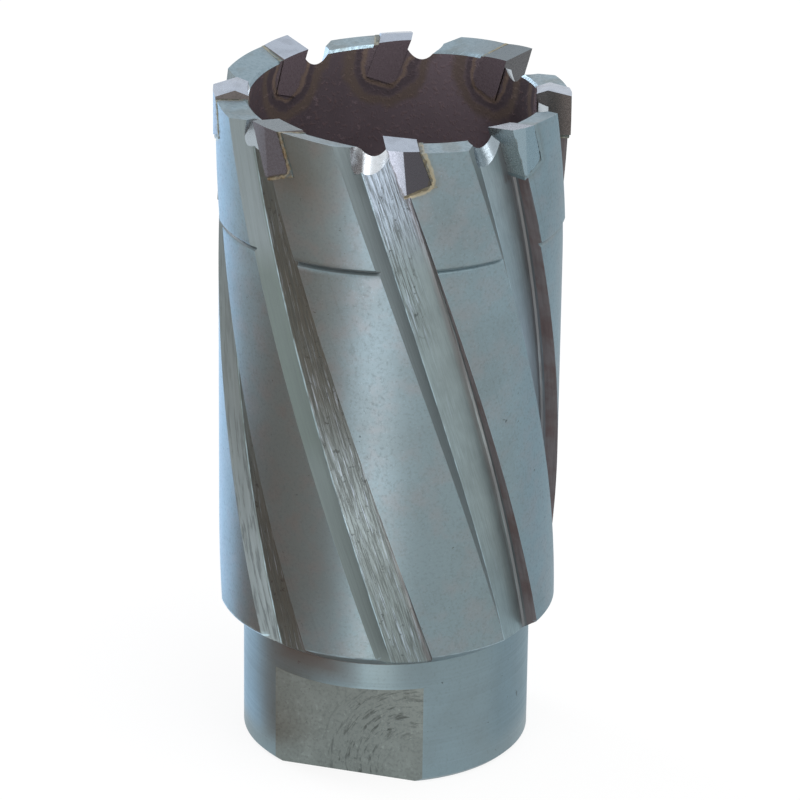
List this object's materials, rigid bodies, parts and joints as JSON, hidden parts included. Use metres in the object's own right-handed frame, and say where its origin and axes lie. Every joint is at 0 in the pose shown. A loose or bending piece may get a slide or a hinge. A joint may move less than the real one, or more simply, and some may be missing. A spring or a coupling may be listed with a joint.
{
  "type": "annular cutter",
  "caption": "Tipped annular cutter for hole making in plate: hollow fluted steel body with brazed hard-metal teeth, standing on a short threaded shank with wrench flats.",
  "frame": {"origin": "centre of the shank end face, the lowest point of the cutter as it stands", "axes": "+Z along the axis from the shank end to the teeth, the picture is taken from -Y with +X to the viewer's right"},
  "size_m": [0.035, 0.035, 0.0693],
  "materials": {
    "body_steel": "satin ground lands, rough milled flute floors, heat-tinted bore",
    "tip_carbide": "dark ground hard metal",
    "braze": "golden brown braze"
  },
  "bodies": {
    "root": {"cutter_body": "body_steel", "carbide_tip_1": "tip_carbide", "carbide_tip_2": "tip_carbide", "carbide_tip_3": "tip_carbide", "carbide_tip_4": "tip_carbide", "carbide_tip_5": "tip_carbide", "carbide_tip_6": "tip_carbide", "carbide_tip_7": "tip_carbide", "carbide_tip_8": "tip_carbide", "braze_seam_1": "braze", "braze_seam_2": "braze", "braze_seam_3": "braze", "braze_seam_4": "braze", "braze_seam_5": "braze", "braze_seam_6": "braze", "braze_seam_7": "braze", "braze_seam_8": "braze"}
  },
  "joints": []
}
